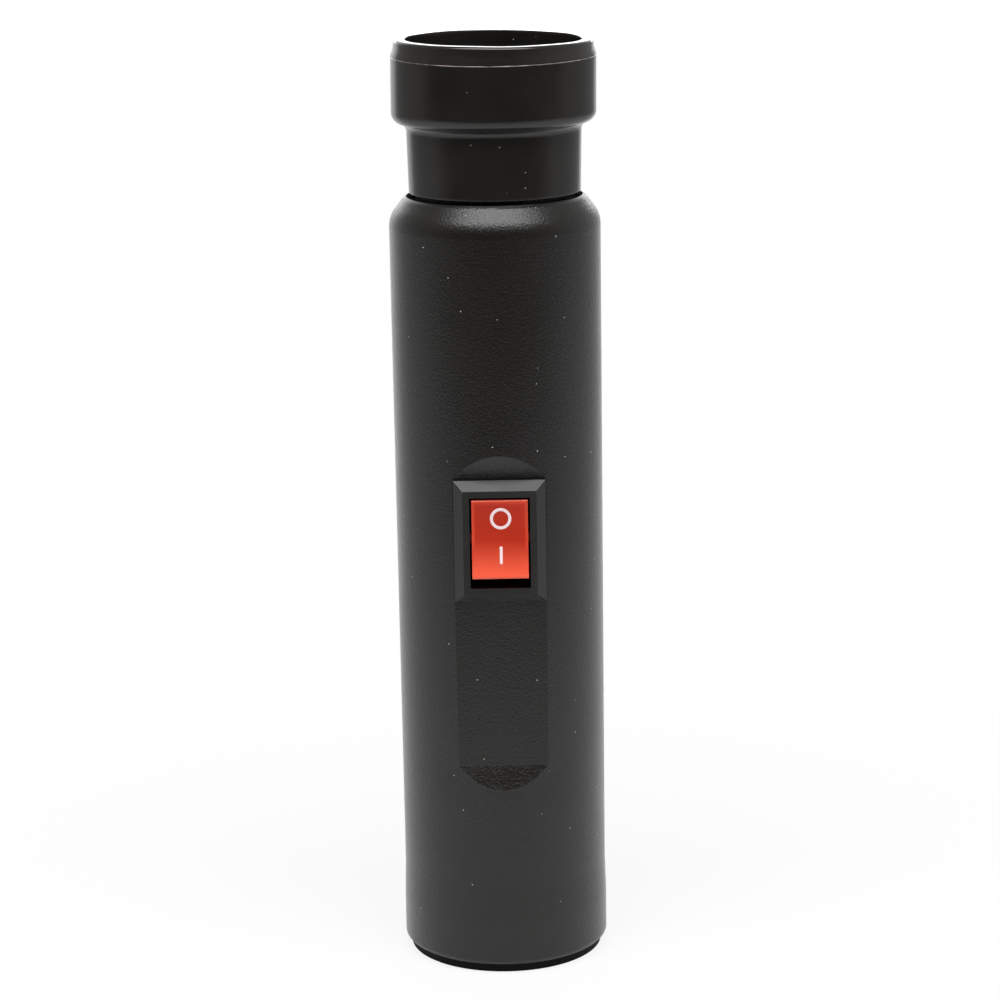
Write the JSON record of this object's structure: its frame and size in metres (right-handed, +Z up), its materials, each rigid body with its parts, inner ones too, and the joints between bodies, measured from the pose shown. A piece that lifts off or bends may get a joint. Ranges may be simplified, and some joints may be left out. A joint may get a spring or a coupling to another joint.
{
  "type": "egg candler",
  "caption": "Hand-held battery LED egg candler: black moulded tube with a red rocker switch and a rubber cup.",
  "frame": {"origin": "centre of the base, on the surface that the candler stands on", "axes": "+Z up the tube to the rubber cup, -Y out of the switch side, +X to the right of the switch"},
  "size_m": [0.035, 0.0373, 0.1558],
  "materials": {
    "black_plastic": "black moulded ABS with a fine leather grain",
    "black_rubber": "semi-gloss black rubber with moulded flash",
    "switch_plastic": "satin black nylon",
    "red_plastic": "glossy translucent red with white marks",
    "white_nylon": "natural nylon",
    "spring_steel": "plated spring steel",
    "brass": "bare brass sheet",
    "board": "green glass-fibre board",
    "lamp_board": "white coated lamp board",
    "cell_can": "plain grey sleeve on a steel can",
    "clear_lens": "clear moulded lens",
    "lens_ring": "black press-in ring",
    "bright_reflector": "metallised bowl",
    "aluminium": "turned aluminium",
    "emitter": "yellow phosphor under a clear dome",
    "resistor": "beige coated resistor with tinned leads",
    "red_wire": "red insulated wire",
    "black_wire": "black insulated wire"
  },
  "bodies": {
    "casing": {"housing": "black_plastic", "rubber_cup": "black_rubber", "switch_body": "switch_plastic", "terminal_common": "brass", "terminal_load": "brass", "lamp_tube": "black_plastic", "lens": "clear_lens", "lens_ring": "lens_ring", "retaining_ring": "spring_steel", "heat_sink": "aluminium", "led_board": "lamp_board", "led_board_screws": "spring_steel", "led_emitter": "emitter", "reflector": "bright_reflector", "series_resistor": "resistor", "wire_battery": "red_wire", "wire_switched": "red_wire", "wire_lamp": "red_wire", "wire_return": "black_wire", "return_strip": "brass", "upper_board": "board", "upper_board_screws": "spring_steel", "upper_link": "brass", "upper_positive": "brass", "upper_spring": "spring_steel"},
    "rocker_body": {"rocker": "red_plastic", "plunger": "white_nylon", "plunger_spring": "spring_steel"},
    "lever_body": {"contact_lever": "brass"},
    "cell_stack": {"lower_board": "board", "lower_link": "brass", "lower_negative": "brass", "lower_springs": "spring_steel", "battery_cell_1": "cell_can", "battery_cell_2": "cell_can", "battery_cell_3": "cell_can"},
    "cap": {"base_cap": "black_plastic", "pivot_screw": "spring_steel"}
  },
  "joints": [
    {"name": "rocker_tilt", "type": "hinge", "parent": "casing", "child": "rocker_body", "pos_m": [0, -0.01343, 0.075], "axis": [1, 0, 0], "range_deg": [0, 20]},
    {"name": "lever_tilt", "type": "hinge", "parent": "casing", "child": "lever_body", "pos_m": [0, -0.00623, 0.075], "axis": [1, 0, 0], "range_deg": [-16, 0]},
    {"name": "cap_travel", "type": "slide", "parent": "casing", "child": "cell_stack", "axis": [0, 0, -1], "range_m": [0, 0.0035]},
    {"name": "cap_turn", "type": "hinge", "parent": "cell_stack", "child": "cap", "pos_m": [0, 0, 0], "axis": [0, 0, -1], "range_deg": [0, 630]}
  ],
  "couplings": [
    {"joint": "lever_tilt", "follows": "rocker_tilt", "ratio": -0.8},
    {"joint": "cap_turn", "follows": "cap_travel", "rad_per_m": 3141.6}
  ]
}
